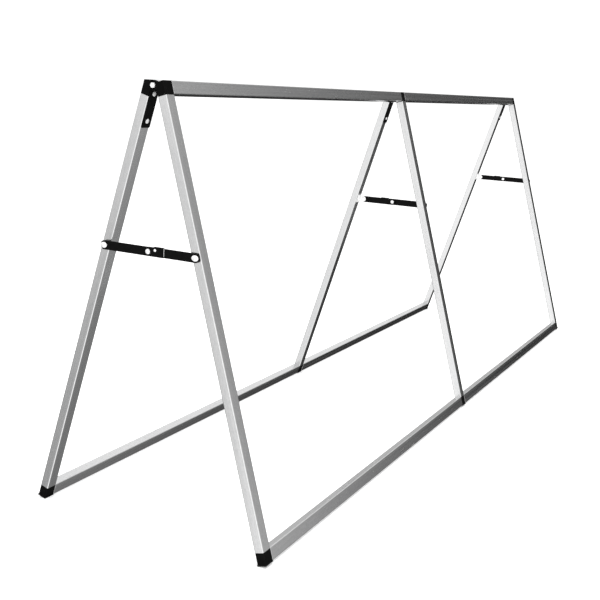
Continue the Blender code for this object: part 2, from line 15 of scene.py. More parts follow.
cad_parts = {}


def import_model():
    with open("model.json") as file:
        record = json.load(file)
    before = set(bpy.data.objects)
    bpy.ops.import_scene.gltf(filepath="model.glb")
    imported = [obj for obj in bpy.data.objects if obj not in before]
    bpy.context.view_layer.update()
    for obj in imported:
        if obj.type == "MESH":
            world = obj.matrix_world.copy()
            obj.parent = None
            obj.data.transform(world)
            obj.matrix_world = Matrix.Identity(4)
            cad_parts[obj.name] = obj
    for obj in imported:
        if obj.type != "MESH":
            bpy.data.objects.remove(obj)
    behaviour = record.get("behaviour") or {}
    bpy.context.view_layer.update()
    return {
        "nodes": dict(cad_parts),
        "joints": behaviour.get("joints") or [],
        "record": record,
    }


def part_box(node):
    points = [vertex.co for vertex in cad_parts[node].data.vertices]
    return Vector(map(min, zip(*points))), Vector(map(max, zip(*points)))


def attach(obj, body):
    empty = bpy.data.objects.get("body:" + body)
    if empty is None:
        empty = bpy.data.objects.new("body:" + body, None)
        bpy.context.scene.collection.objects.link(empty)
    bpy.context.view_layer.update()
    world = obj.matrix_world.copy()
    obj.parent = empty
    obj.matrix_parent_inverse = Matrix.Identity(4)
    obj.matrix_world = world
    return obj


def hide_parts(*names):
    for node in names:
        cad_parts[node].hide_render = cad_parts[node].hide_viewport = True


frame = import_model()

# Places read from the frame
JOINTS = {joint["name"]: joint for joint in frame["joints"]}
MOUNTS = {mount["name"]: mount for mount in frame["record"]["mounts"]}
PIVOT_Z = JOINTS["fold"]["pos_m"][2]
HALF_ANGLE = math.asin(MOUNTS["rear_top_rail_face"]["axis"][2])
REAR = Matrix.Translation((0, 0, PIVOT_Z)) @ Matrix.Rotation(HALF_ANGLE, 4, "X")
FRONT = Matrix.Translation((0, 0, PIVOT_Z)) @ Matrix.Rotation(math.pi, 4, "Z")
FRONT = FRONT @ Matrix.Rotation(HALF_ANGLE, 4, "X")
SIDES = {"rear": (REAR, 1), "front": (FRONT, -1)}


def span(node, axes):
    """Lowest and highest corner of a CAD node in some axes."""
    inverse = axes.inverted()
    points = [inverse @ vertex.co for vertex in frame["nodes"][node].data.vertices]
    low = Vector([min(point[i] for point in points) for i in range(3)])
    high = Vector([max(point[i] for point in points) for i in range(3)])
    return low, high


LEG_LOW, LEG_HIGH = span("rear_leg_right", REAR)
HALF_WIDTH = (LEG_HIGH.x - LEG_LOW.x) / 2
LEG_X = (LEG_HIGH.x + LEG_LOW.x) / 2
TUBE_Y = (LEG_HIGH.y + LEG_LOW.y) / 2
HALF_DEPTH = (LEG_HIGH.y - LEG_LOW.y) / 2
INNER_FACE = LEG_LOW.y
TOP_RAIL_HIGH = span("rear_top_rail_left", REAR)[1]
LOW_RAIL_LOW = span("rear_bottom_rail_left", REAR)[0]
COLUMNS = {"left": -LEG_X, "middle": 0.0, "right": LEG_X}

# Sizes of the parts, as in the CAD
GAP = 0.0003
TUBE_WALL = 0.0015
TUBE_CORNER = 0.0020
BLOCK_INSET = 0.0009
BLOCK_EASE = 0.0005
TOP_RAIL_PROUD = 0.0005
BOTTOM_RAIL_UP = 0.0006
SPIGOT_LENGTH = 0.045
SPIGOT_TIP = 0.004
REAR_LUG = (0.0106, 0.0235)
FRONT_LUG = (0.009, 0.0095)
RELIEF_CLEARANCE = 0.0006
LUG_THICK = 0.006
TEE_LUG_THICK = 0.004
BOLT_RADIUS = 0.003
BOLT_HEAD_FLATS = 0.010
BOLT_HEAD_HEIGHT = 0.004
FLATS_CLEAR = 0.00005
THREAD_CORE = 0.0025
THREAD_PITCH = 0.001
NUT_HEIGHT = 0.006
STRAP_THICK = 0.0018
STRAP_SCREWS = (0.023, 0.0805)
STRAP_SCREW_HOLE = 0.0108
SCREW_RADIUS = 0.002
SCREW_HEAD_RADIUS = 0.005
SCREW_HEAD_HEIGHT = 0.0018
SCREW_DEPTH = 0.0105
SCREW_HOLE_CLEAR = 0.0002
BAR_HALF = 0.0098
BAR_THICK = 0.002
RIVET_RADIUS = 0.003
RIVET_HEAD_RADIUS = 0.0062
RIVET_HEAD_STRETCH = 0.3
SHOULDER_RADIUS = 0.0040
TAIL_RADIUS = 0.0053
MIDDLE_HEAD_RADIUS = 0.0056
LEFT_RIVET_REACH = 0.0105
RIGHT_RIVET_REACH = 0.0127
BRACKET_THICK = 0.002
BRACKET_HALF = 0.012
BRACKET_END_RADIUS = 0.0086
BRACKET_RIVET_SPREAD = 0.007
FRAME_TOP = TOP_RAIL_HIGH.z - TOP_RAIL_PROUD
BLOCK_BOTTOM = LEG_HIGH.z + GAP
LEG_FOOT = LOW_RAIL_LOW.z - BOTTOM_RAIL_UP


# ---------------------------------------------------------------- shapes

def loft(shape, rings, closed=False, tint=0):
    """Skin successive rings of points; a ring of one point is a pole.

    The faces' material number is tint.
    """
    made = [[shape.verts.new(point) for point in ring] for ring in rings]
    pairs = list(zip(made, made[1:]))
    if closed:
        pairs.append((made[-1], made[0]))
    for lower, upper in pairs:
        count = max(len(lower), len(upper))
        for index in range(count):
            after = (index + 1) % count
            corners = [lower[index % len(lower)], lower[after % len(lower)]]
            corners += [upper[after % len(upper)], upper[index % len(upper)]]
            shape.faces.new(dict.fromkeys(corners)).material_index = tint
    if not closed:
        for end in (made[0], made[-1]):
            if len(end) > 2:
                shape.faces.new(end).material_index = tint


def rounded_rectangle(half_a, half_b, radius, steps=5):
    points = []
    for corner, (sign_a, sign_b) in enumerate(((1, 1), (-1, 1), (-1, -1), (1, -1))):
        for step in range(steps + 1):
            angle = math.radians(90 * (corner + step / steps))
            a = sign_a * (half_a - radius) + radius * math.cos(angle)
            b = sign_b * (half_b - radius) + radius * math.sin(angle)
            points.append((a, b))
    return points


def circle(radius, count=40):
    if radius == 0:
        return [(0.0, 0.0)]
    turns = [2 * math.pi * index / count for index in range(count)]
    return [(radius * math.cos(turn), radius * math.sin(turn)) for turn in turns]


def turned(shape, profile, centre=(0, 0, 0), axis="x", sign=1, count=40, tint=0):
    """A solid of revolution from (distance along the axis, radius) pairs."""
    rings = []
    for along, radius in profile:
        ring = circle(radius, count)
        if axis == "x":
            rings.append([(centre[0] + sign * along, centre[1] + a, centre[2] + b) for a, b in ring])
        else:
            rings.append([(centre[0] + a, centre[1] + sign * along, centre[2] + b) for a, b in ring])
    loft(shape, rings, tint=tint)


def rod(shape, radius, start, end, centre, axis="x", sign=1):
    turned(shape, [(start, radius), (end, radius)], centre, axis, sign)


def slab(shape, outline, low, high):
    """A flat plate: an outline of (y, z) points between two places along x."""
    loft(shape, [[(x, y, z) for y, z in outline] for x in (low, high)])


def block(shape, low, high):
    rings = []
    for z in (low[2], high[2]):
        rings.append([(low[0], low[1], z), (high[0], low[1], z), (high[0], high[1], z), (low[0], high[1], z)])
    loft(shape, rings)


def arc(centre_a, centre_b, radius, start, end, steps):
    """Points on an arc, as (a, b) pairs; the angles are in degrees."""
    turns = [math.radians(start + (end - start) * step / steps) for step in range(steps + 1)]
    return [(centre_a + radius * math.cos(turn), centre_b + radius * math.sin(turn)) for turn in turns]


def mesh_of(name, shape):
    bmesh.ops.recalc_face_normals(shape, faces=shape.faces)
    mesh = bpy.data.meshes.new(name)
    shape.to_mesh(mesh)
    shape.free()
    return mesh


def bake(piece):
    """Replace a piece's mesh by the result of its modifiers."""
    graph = bpy.context.evaluated_depsgraph_get()
    mesh = bpy.data.meshes.new_from_object(piece.evaluated_get(graph))
    piece.modifiers.clear()
    piece.data = mesh


def combine(piece, operation, shape):
    """A Boolean with a second shape in the same axes, applied at once."""
    tool = bpy.data.objects.new("tool", mesh_of("tool", shape))
    bpy.context.scene.collection.objects.link(tool)
    tool.matrix_world = piece.matrix_world
    step = piece.modifiers.new("step", "BOOLEAN")
    step.operation = operation
    step.solver = "EXACT"
    step.object = tool
    bake(piece)
    bpy.data.objects.remove(tool)


def soften(piece, width, segments=2, angle=35):
    step = piece.modifiers.new("soften", "BEVEL")
    step.width = width
    step.segments = segments
    step.limit_method = "ANGLE"
    step.angle_limit = math.radians(angle)
    step.harden_normals = False
    bake(piece)


def draft(name, shape, materials):
    """A loose object in frame axes, to be shaped further and then placed."""
    piece = bpy.data.objects.new(name, mesh_of(name, shape))
    for material in materials:
        piece.data.materials.append(material)
    bpy.context.scene.collection.objects.link(piece)
    return piece


def smooth(piece, angle=32):
    """Smooth shading that leaves large flats flat."""
    piece.data.shade_smooth()
    piece.data.set_sharp_from_angle(angle=math.radians(angle))
    step = piece.modifiers.new("flats", "WEIGHTED_NORMAL")
    step.keep_sharp = True
    bake(piece)
    return piece


def settle(piece, matrix, body, slot, *nodes):
    """Place a finished piece, let it ride on its body and stand for its CAD nodes."""
    piece.matrix_world = matrix
    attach(piece, body)
    if nodes:
        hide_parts(*nodes)
    return piece


# ---------------------------------------------------------------- materials

class Nodes:
    """Short names for building a node tree."""

    def __init__(self, tree):
        self.tree = tree

    def add(self, kind, inputs=None, **settings):
        node = self.tree.nodes.new(kind)
        for key, value in settings.items():
            setattr(node, key, value)
        for key, value in (inputs or {}).items():
            self.put(node.inputs[key], value)
        return node

    def put(self, socket, value):
        if isinstance(value, bpy.types.NodeSocket):
            self.tree.links.new(value, socket)
        else:
            socket.default_value = value

    def math(self, operation, *values):
        node = self.add("ShaderNodeMath", operation=operation)
        for socket, value in zip(node.inputs, values):
            self.put(socket, value)
        return node.outputs[0]

    def noise(self, vector, scale, detail=4.0, roughness=0.5, distortion=0.0, seed=0.0):
        inputs = {"Vector": vector, "Scale": scale, "Detail": detail, "Roughness": roughness}
        inputs.update({"Distortion": distortion, "W": seed})
        return self.add("ShaderNodeTexNoise", inputs, noise_dimensions="4D").outputs["Fac"]

    def ramp(self, value, low, high, to_low=0.0, to_high=1.0):
        """Eased from to_low where the value is low, to to_high where it is high."""
        inputs = {"Value": value, "From Min": low, "From Max": high, "To Min": to_low, "To Max": to_high}
        return self.add("ShaderNodeMapRange", inputs, interpolation_type="SMOOTHSTEP").outputs["Result"]

    def between(self, factor, low, high):
        inputs = {"Value": factor, "To Min": low, "To Max": high}
        return self.add("ShaderNodeMapRange", inputs).outputs["Result"]

    def blend(self, factor, low, high):
        """Mix two colours."""
        node = self.add("ShaderNodeMix", data_type="RGBA")
        colours = [socket for socket in node.inputs if socket.type == "RGBA"]
        self.put(node.inputs["Factor"], factor)
        self.put(colours[0], low)
        self.put(colours[1], high)
        return next(socket for socket in node.outputs if socket.type == "RGBA")


class Finish(Nodes):
    """One material."""

    def __init__(self, name):
        self.material = bpy.data.materials.new(name)
        self.material.use_nodes = True
        super().__init__(self.material.node_tree)
        self.shader = self.tree.nodes["Principled BSDF"]

    def stretched(self, *scale):
        """Object coordinates, scaled per axis."""
        place = self.add("ShaderNodeTexCoord").outputs["Object"]
        inputs = {0: place, 1: scale or (1, 1, 1)}
        return self.add("ShaderNodeVectorMath", inputs, operation="MULTIPLY").outputs[0]

    def seed(self):
        """A number that differs from one object to the next."""
        return self.math("MULTIPLY", self.add("ShaderNodeObjectInfo").outputs["Random"], 37.0)

    def edges(self, radius, low=0.04, high=0.35):
        """1 along edges, 0 on flats."""
        true = self.add("ShaderNodeNewGeometry").outputs["Normal"]
        soft = self.add("ShaderNodeBevel", {"Radius": radius}, samples=6).outputs["Normal"]
        away = self.add("ShaderNodeVectorMath", {0: true, 1: soft}, operation="DISTANCE").outputs["Value"]
        return self.ramp(away, low, high)

    def bump(self, height, strength, distance):
        node = self.add("ShaderNodeBump", {"Height": height, "Strength": strength, "Distance": distance})
        self.put(self.shader.inputs["Normal"], node.outputs["Normal"])

    def done(self, colour, roughness, metallic, specular=0.5):
        self.put(self.shader.inputs["Base Color"], colour)
        self.put(self.shader.inputs["Roughness"], roughness)
        self.shader.inputs["Metallic"].default_value = metallic
        self.shader.inputs["Specular IOR Level"].default_value = specular
        return self.material


def grey(value):
    return (value, value, value, 1.0)


def extruded_aluminium():
    """Satin extrusion: die lines along the tube, a faint cloudiness, scuffs, and corners painted lighter,
    partly as polish wear and partly as a painted highlight.
    """
    n = Finish("extruded_aluminium")
    seed = n.seed()
    lines = n.noise(n.stretched(1, 1, 0.004), 1400.0, 3.0, 0.6, seed=seed)
    broad_lines = n.noise(n.stretched(1, 1, 0.002), 260.0, 2.0, seed=seed)
    cloud = n.noise(n.stretched(1, 1, 0.22), 26.0, 5.0, 0.6, seed=seed)
    grain = n.noise(n.stretched(1, 1, 0.5), 240.0, 4.0, 0.75, seed=seed)
    scuff = n.noise(n.stretched(1, 1, 0.16), 90.0, 7.0, 0.72, 1.2, seed=seed)
    scuffed = n.ramp(scuff, 0.60, 0.70)
    tone = n.math("ADD", n.math("MULTIPLY", lines, 0.25), n.math("MULTIPLY", cloud, 0.25))
    tone = n.math("ADD", tone, n.math("MULTIPLY", grain, 0.50))
    base = n.blend(n.ramp(tone, 0.34, 0.66), (0.68, 0.685, 0.69, 1), grey(0.80))
    worn = n.blend(n.math("MULTIPLY", scuffed, 0.35), base, grey(0.87))
    # Corners painted near white: partly polish wear, partly a painted highlight standing in for the light the
    # rounded corners catch.
    edge = n.edges(0.0012)
    colour = n.blend(n.math("MULTIPLY", edge, 0.8), worn, grey(0.96))
    rough = n.ramp(broad_lines, 0.3, 0.7, 0.20, 0.27)
    rough = n.math("ADD", rough, n.math("MULTIPLY", scuffed, 0.07))
    height = n.math("ADD", n.math("MULTIPLY", lines, 0.6), n.math("MULTIPLY", broad_lines, 0.8))
    n.bump(n.math("ADD", height, n.math("MULTIPLY", grain, 0.6)), 0.10, 0.0002)
    return n.done(colour, rough, 1.0)


def cut_aluminium():
    """Bare sawn tube ends: curved saw marks, a little brighter than the outside."""
    n = Finish("cut_aluminium")
    marks = n.noise(n.stretched(1, 0.06, 1), 2600.0, 2.0, 0.6, 0.6, n.seed())
    colour = n.blend(n.ramp(marks, 0.35, 0.65), grey(0.80), grey(0.94))
    n.bump(marks, 0.25, 0.0001)
    return n.done(colour, n.between(marks, 0.22, 0.42), 0.9)


def moulded_plastic():
    """Black nylon: fine spark-eroded grain, slightly burnished edges and pale dust in the grain."""
    n = Finish("moulded_plastic")
    grain = n.noise(n.stretched(), 2600.0, 3.0, 0.6)
    flow = n.noise(n.stretched(), 55.0, 4.0, 0.55, 0.4, n.seed())
    dust = n.math("MULTIPLY", n.ramp(flow, 0.50, 0.80), n.ramp(grain, 0.45, 0.7))
    base = n.blend(n.ramp(flow, 0.3, 0.7), grey(0.0014), grey(0.0028))
    dusty = n.blend(n.math("MULTIPLY", dust, 0.20), base, grey(0.035))
    edge = n.edges(0.0008)
    colour = n.blend(n.math("MULTIPLY", edge, 0.35), dusty, grey(0.020))
    rough = n.math("SUBTRACT", n.between(flow, 0.40, 0.54), n.math("MULTIPLY", edge, 0.08))
    n.bump(grain, 0.35, 0.00008)
    return n.done(colour, rough, 0.0, 0.05)


def powder_coat():
    """Black powder coat on steel: orange peel, rubbed edges where the coat thins."""
    n = Finish("powder_coat")
    peel = n.noise(n.stretched(), 620.0, 2.0)
    fine = n.noise(n.stretched(), 3200.0, 2.0, 0.6)
    patch = n.noise(n.stretched(), 120.0, 5.0, 0.65, 0.0, n.seed())
    rubbed = n.math("MULTIPLY", n.edges(0.0007), n.ramp(patch, 0.42, 0.62))
    base = n.blend(n.ramp(patch, 0.3, 0.7), grey(0.0014), grey(0.0030))
    colour = n.blend(n.math("MULTIPLY", rubbed, 0.45), base, grey(0.075))
    n.bump(n.math("ADD", peel, n.math("MULTIPLY", fine, 0.3)), 0.22, 0.00015)
    return n.done(colour, n.between(patch, 0.34, 0.48), 0.0, 0.07)


def bright_zinc():
    """Bright zinc plate: fine polish marks and a faint mottled bloom."""
    n = Finish("bright_zinc")
    seed = n.seed()
    polish = n.noise(n.stretched(0.05, 1, 1), 2400.0, 3.0, 0.6, seed=seed)
    bloom = n.noise(n.stretched(), 260.0, 5.0, 0.65, 0.5, seed)
    base = n.blend(n.ramp(bloom, 0.35, 0.70), grey(0.95), grey(0.86))
    colour = n.blend(n.math("MULTIPLY", n.edges(0.0005), 0.4), base, grey(0.98))
    rough = n.math("ADD", n.between(bloom, 0.20, 0.32), n.math("MULTIPLY", polish, 0.06))
    n.bump(polish, 0.10, 0.00006)
    return n.done(colour, rough, 0.40)


def foot_rubber():
    """Dense black rubber, dull and dusty, paler where it has rubbed on the floor."""
    n = Finish("foot_rubber")
    grain = n.noise(n.stretched(), 1500.0, 4.0, 0.7)
    dust = n.noise(n.stretched(), 180.0, 5.0, 0.7, 0.0, n.seed())
    amount = n.math("MULTIPLY", n.ramp(dust, 0.45, 0.8), 0.22)
    amount = n.math("ADD", amount, n.math("MULTIPLY", n.edges(0.0008), 0.20))
    colour = n.blend(amount, grey(0.003), grey(0.05))
    n.bump(n.math("ADD", grain, dust), 0.45, 0.0001)
    return n.done(colour, n.between(dust, 0.70, 0.90), 0.0, 0.2)


def nylon_insert():
    """The pale nylon ring of a lock nut."""
    n = Finish("nylon_insert")
    cloud = n.noise(n.stretched(), 700.0, 3.0, 0.6)
    colour = n.blend(cloud, (0.62, 0.62, 0.58, 1), (0.78, 0.78, 0.74, 1))
    n.bump(cloud, 0.2, 0.0001)
    return n.done(colour, n.between(cloud, 0.35, 0.5), 0.0)


ALUMINIUM = extruded_aluminium()
CUT = cut_aluminium()
PLASTIC = moulded_plastic()
COAT = powder_coat()
ZINC = bright_zinc()
RUBBER = foot_rubber()
NYLON = nylon_insert()


# ---------------------------------------------------------------- tubes

def tube(name, length):
    """Rectangular tube along z from the origin; its chamfered, sawn ends have the second finish."""
    chamfer = 0.0002
    sharp_inside = TUBE_CORNER / 4
    outer = rounded_rectangle(HALF_WIDTH, HALF_DEPTH, TUBE_CORNER)
    eased = rounded_rectangle(HALF_WIDTH - chamfer, HALF_DEPTH - chamfer, TUBE_CORNER - chamfer)
    inner = rounded_rectangle(HALF_WIDTH - TUBE_WALL, HALF_DEPTH - TUBE_WALL, sharp_inside)
    order = [(eased, 0), (outer, chamfer), (outer, length - chamfer)]
    order += [(eased, length), (inner, length), (inner, 0)]
    shape = bmesh.new()
    loft(shape, [[(a, b, z) for a, b in profile] for profile, z in order], closed=True)
    piece = draft(name, shape, (ALUMINIUM, CUT))
    for face in piece.data.polygons:
        face.material_index = 1 if abs(face.normal.z) > 0.9 else 0
    return piece


def leg_tube(prefix, column):
    axes, side = SIDES[prefix]
    node = f"{prefix}_leg_{column}"
    low, high = span(node, axes)
    piece = tube(f"{node}_tube", high.z - low.z)
    holes = bmesh.new()
    through_wall = (-HALF_DEPTH - GAP, -HALF_DEPTH + TUBE_WALL + GAP)
    if prefix == "rear":
        strap_screw = FRAME_TOP - STRAP_SCREWS[1] - low.z
        rod(holes, SCREW_RADIUS + GAP, *through_wall, (0, 0, strap_screw), "y")
    if prefix == "rear" and column != "left":
        for z in bracket_rivet_heights():
            rod(holes, SCREW_RADIUS + GAP, *through_wall, (0, 0, z - low.z), "y")
    else:
        out_local = -side if column == "left" else side
        pivot = axes.inverted() @ Vector(JOINTS[f"{column}_{prefix}_pivot"]["pos_m"])
        ends = (HALF_WIDTH - TUBE_WALL - GAP, HALF_WIDTH + GAP)
        rod(holes, RIVET_RADIUS + GAP, *ends, (0, pivot.y - TUBE_Y, pivot.z - low.z), "x", out_local)
    combine(piece, "DIFFERENCE", holes)
    place = axes @ Matrix.Translation(((low.x + high.x) / 2, TUBE_Y, low.z))
    return settle(smooth(piece), place, f"{prefix}_frame", "aluminium", node)


def rail_tube(prefix, level, half):
    axes = SIDES[prefix][0]
    node = f"{prefix}_{level}_rail_{half}"
    low, high = span(node, axes)
    piece = tube(f"{node}_tube", high.x - low.x)
    along_x = Matrix.Rotation(-math.pi / 2, 4, "Y")
    place = axes @ Matrix.Translation((high.x, TUBE_Y, (low.z + high.z) / 2)) @ along_x
    return settle(smooth(piece), place, f"{prefix}_frame", "aluminium", node)


def bracket_rivet_heights():
    """Heights, in rear axes, of the two rivets that hold a stay bracket to its leg."""
    low, high = span("stay_bracket_middle", REAR)
    middle = (low.z + high.z) / 2
    return [middle - BRACKET_RIVET_SPREAD, middle + BRACKET_RIVET_SPREAD]


# ---------------------------------------------------------------- mouldings and feet

def lug_outline(radius, shoulder):
    """Round eye about the hinge line; a line touching it meets the block's top at the shoulder."""
    tangent = math.atan2(FRAME_TOP, shoulder) + math.acos(radius / math.hypot(FRAME_TOP, shoulder))
    points = arc(0, 0, radius, math.degrees(tangent), 270, 28)
    return points + [(shoulder, -radius), (shoulder, FRAME_TOP)]


def spigots(x, block_near, leg_sign, rail_z, rail_signs):
    """The tongues inside the tubes, with tapered tips."""
    clear = TUBE_WALL + GAP
    wide = HALF_WIDTH - clear
    deep = HALF_DEPTH - clear
    taper = 0.0015
    bite = 0.001
    shape = bmesh.new()
    steps = [(wide, deep, block_near - leg_sign * bite),
             (wide, deep, block_near + leg_sign * (SPIGOT_LENGTH - SPIGOT_TIP)),
             (wide - taper, deep - taper, block_near + leg_sign * SPIGOT_LENGTH)]
    corners = ((-1, -1), (1, -1), (1, 1), (-1, 1))
    loft(shape, [[(x + i * a, TUBE_Y + j * b, z) for i, j in corners] for a, b, z in steps])
    for sign in rail_signs:
        near = x + sign * (HALF_WIDTH - bite)
        steps = [(wide, deep, near),
                 (wide, deep, x + sign * (HALF_WIDTH + SPIGOT_LENGTH - SPIGOT_TIP)),
                 (wide - taper, deep - taper, x + sign * (HALF_WIDTH + SPIGOT_LENGTH))]
        loft(shape, [[(far, TUBE_Y + j * b, rail_z + i * a) for i, j in corners] for a, b, far in steps])
    return shape


def moulding(prefix, level, column):
    """A black corner or tee between the tubes; a top one has a hinge lug, clear of its neighbour's."""
    axes, side = SIDES[prefix]
    x = side * COLUMNS[column]
    end = 0 if column == "middle" else int(math.copysign(1, x))
    kind = "tee" if end == 0 else f"corner_{column}"
    node = f"{prefix}_{level}_{kind}"
    rail_low, rail_high = span(f"{prefix}_{level}_rail_left", axes)
    rail_z = (rail_low.z + rail_high.z) / 2
    if level == "top":
        leg_sign, low, high = -1, BLOCK_BOTTOM, FRAME_TOP
    else:
        pad_top = span(f"{prefix}_foot_pad_{column}", axes)[1].z
        leg_sign, low, high = 1, pad_top + GAP, LEG_LOW.z - GAP
    near = low if leg_sign < 0 else high
    deep = HALF_DEPTH - BLOCK_INSET
    shape = bmesh.new()
    block(shape, (x - HALF_WIDTH, TUBE_Y - deep, low), (x + HALF_WIDTH, TUBE_Y + deep, high))
    piece = draft(f"{node}_moulding", shape, (PLASTIC,))
    if level == "top":
        outer_lug = (-HALF_WIDTH, LUG_THICK - HALF_WIDTH)
        tee_lug = (-TEE_LUG_THICK - GAP / 2, -GAP / 2)
        inner_lug = (HALF_WIDTH - 2 * LUG_THICK - GAP, HALF_WIDTH - LUG_THICK - GAP)
        lug = {-1: outer_lug, 0: tee_lug, 1: inner_lug}[end]
        own, other = (REAR_LUG, FRONT_LUG) if prefix == "rear" else (FRONT_LUG, REAR_LUG)
        relief = bmesh.new()
        beyond = HALF_WIDTH + 0.001
        if end >= 0:
            rod(relief, other[0] + RELIEF_CLEARANCE, -beyond, lug[0], (x, 0, 0))
        rod(relief, other[0] + RELIEF_CLEARANCE, lug[1], beyond, (x, 0, 0))
        combine(piece, "DIFFERENCE", relief)
        ear = bmesh.new()
        slab(ear, lug_outline(*own), x + lug[0], x + lug[1])
        combine(piece, "UNION", ear)
        hole = bmesh.new()
        rod(hole, BOLT_RADIUS + GAP, lug[0] - GAP, lug[1] + GAP, (x, 0, 0))
        combine(piece, "DIFFERENCE", hole)
    if level == "top" and prefix == "rear":
        screw = bmesh.new()
        rod(screw, SCREW_RADIUS + GAP, 0, STRAP_SCREW_HOLE, (x, 0, FRAME_TOP - STRAP_SCREWS[0]), "y")
        combine(piece, "DIFFERENCE", screw)
    soften(piece, BLOCK_EASE)
    inward = (-1, 1) if end == 0 else (-end,)
    combine(piece, "UNION", spigots(x, near, leg_sign, rail_z, inward))
    return settle(smooth(piece), axes, f"{prefix}_frame", "black_plastic", node)


def foot(prefix, column):
    """A grooved pad cut square to the leg, its inner edge cut level to lie flat on the floor."""
    axes = SIDES[prefix][0]
    node = f"{prefix}_foot_pad_{column}"
    low, high = span(node, axes)
    level_end = INNER_FACE + (LEG_FOOT - low.z) / math.tan(HALF_ANGLE)
    lip_z = low.z + (level_end - low.y) * math.tan(HALF_ANGLE)
    outline = [(low.y, lip_z), (level_end, low.z), (high.y, low.z), (high.y, high.z), (low.y, high.z)]
    shape = bmesh.new()
    slab(shape, outline, low.x, high.x)
    piece = draft(f"{node}_rubber", shape, (RUBBER,))
    soften(piece, 0.0005, 3)
    margin = 0.003
    half_groove = 0.0006
    groove_top = low.z + 0.0005
    grooves = bmesh.new()
    for step in (1, 2, 3):
        y = level_end + (high.y - level_end) * step / 4
        near = (low.x + margin, y - half_groove, low.z - GAP)
        block(grooves, near, (high.x - margin, y + half_groove, groove_top))
    combine(piece, "DIFFERENCE", grooves)
    return settle(smooth(piece), axes, f"{prefix}_frame", "rubber", node)


# ---------------------------------------------------------------- bolts, nuts, screws and rivets

def corner_of(across_flats):
    """Radius of a hexagon's corners."""
    return across_flats / 2 / math.cos(math.pi / 6)


def along(centre, outward):
    """Axes at a place on a pivot's axis, with x pointing the way that outward says."""
    turn = Matrix.Rotation(0 if outward > 0 else math.pi, 4, "Z")
    return Matrix.Translation(centre) @ turn


def hexagonal(shape, across_flats, start, end):
    ring = circle(corner_of(across_flats), 6)
    loft(shape, [[(x, a, b) for a, b in ring] for x in (start, end)])


def threaded(shape, core, crest, pitch, start, end, tip):
    """A threaded stud along x with a chamfered tip."""
    count = 48
    steps = max(8, round((end - start) / pitch * 12))
    rings = []
    for step in range(steps + 1):
        x = start + (end - start) * step / steps
        ring = []
        for index in range(count):
            turn = index / count
            phase = (x / pitch - turn) % 1.0
            flank = min(1.0, max(0.0, 2.6 * (0.5 - abs(phase - 0.5)) - 0.15))
            radius = core + (crest - core) * flank
            radius = min(radius, crest - max(0.0, x - (end - tip)))
            angle = 2 * math.pi * turn
            ring.append((x, radius * math.cos(angle), radius * math.sin(angle)))
        rings.append(ring)
    loft(shape, rings)


def hinge_bolt(column):
    """Hex-head bolt with a chamfered head, a washer face under it and a real thread at its end."""
    node = f"hinge_bolt_{column}"
    sign = -1 if column == "right" else 1
    low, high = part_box(node)
    head_end = low.x if sign > 0 else high.x
    length = high.x - low.x
    washer = 0.0003
    washer_radius = 0.0046
    shape = bmesh.new()
    hexagonal(shape, BOLT_HEAD_FLATS - FLATS_CLEAR, 0, BOLT_HEAD_HEIGHT - washer)
    piece = draft(f"{node}_steel", shape, (ZINC,))
    corner = corner_of(BOLT_HEAD_FLATS)
    crown = BOLT_HEAD_FLATS / 2 * 0.95
    drop = (corner - crown) * math.tan(math.radians(32))
    cone = bmesh.new()
    turned(cone, [(0, 0), (0, crown), (drop, corner + GAP), (BOLT_HEAD_HEIGHT, corner + GAP),
                  (BOLT_HEAD_HEIGHT, 0)], count=96)
    combine(piece, "INTERSECT", cone)
    soften(piece, 0.00012, 2, 20)
    inside_head = BOLT_HEAD_HEIGHT - washer - 0.0005
    thread_start = length - NUT_HEIGHT - 0.0045
    shank = bmesh.new()
    turned(shank, [(inside_head, 0), (inside_head, washer_radius), (BOLT_HEAD_HEIGHT, washer_radius),
                   (BOLT_HEAD_HEIGHT, BOLT_RADIUS), (thread_start, BOLT_RADIUS),
                   (thread_start + 0.0006, THREAD_CORE), (thread_start + 0.0012, 0)], count=48)
    combine(piece, "UNION", shank)
    thread = bmesh.new()
    tip = 0.0007
    threaded(thread, THREAD_CORE, BOLT_RADIUS, THREAD_PITCH, thread_start + 0.0003, length, tip)
    combine(piece, "UNION", thread)
    place = along((head_end, 0, PIVOT_Z), sign)
    return settle(smooth(piece, 28), place, "front_frame", "bright_zinc", node)


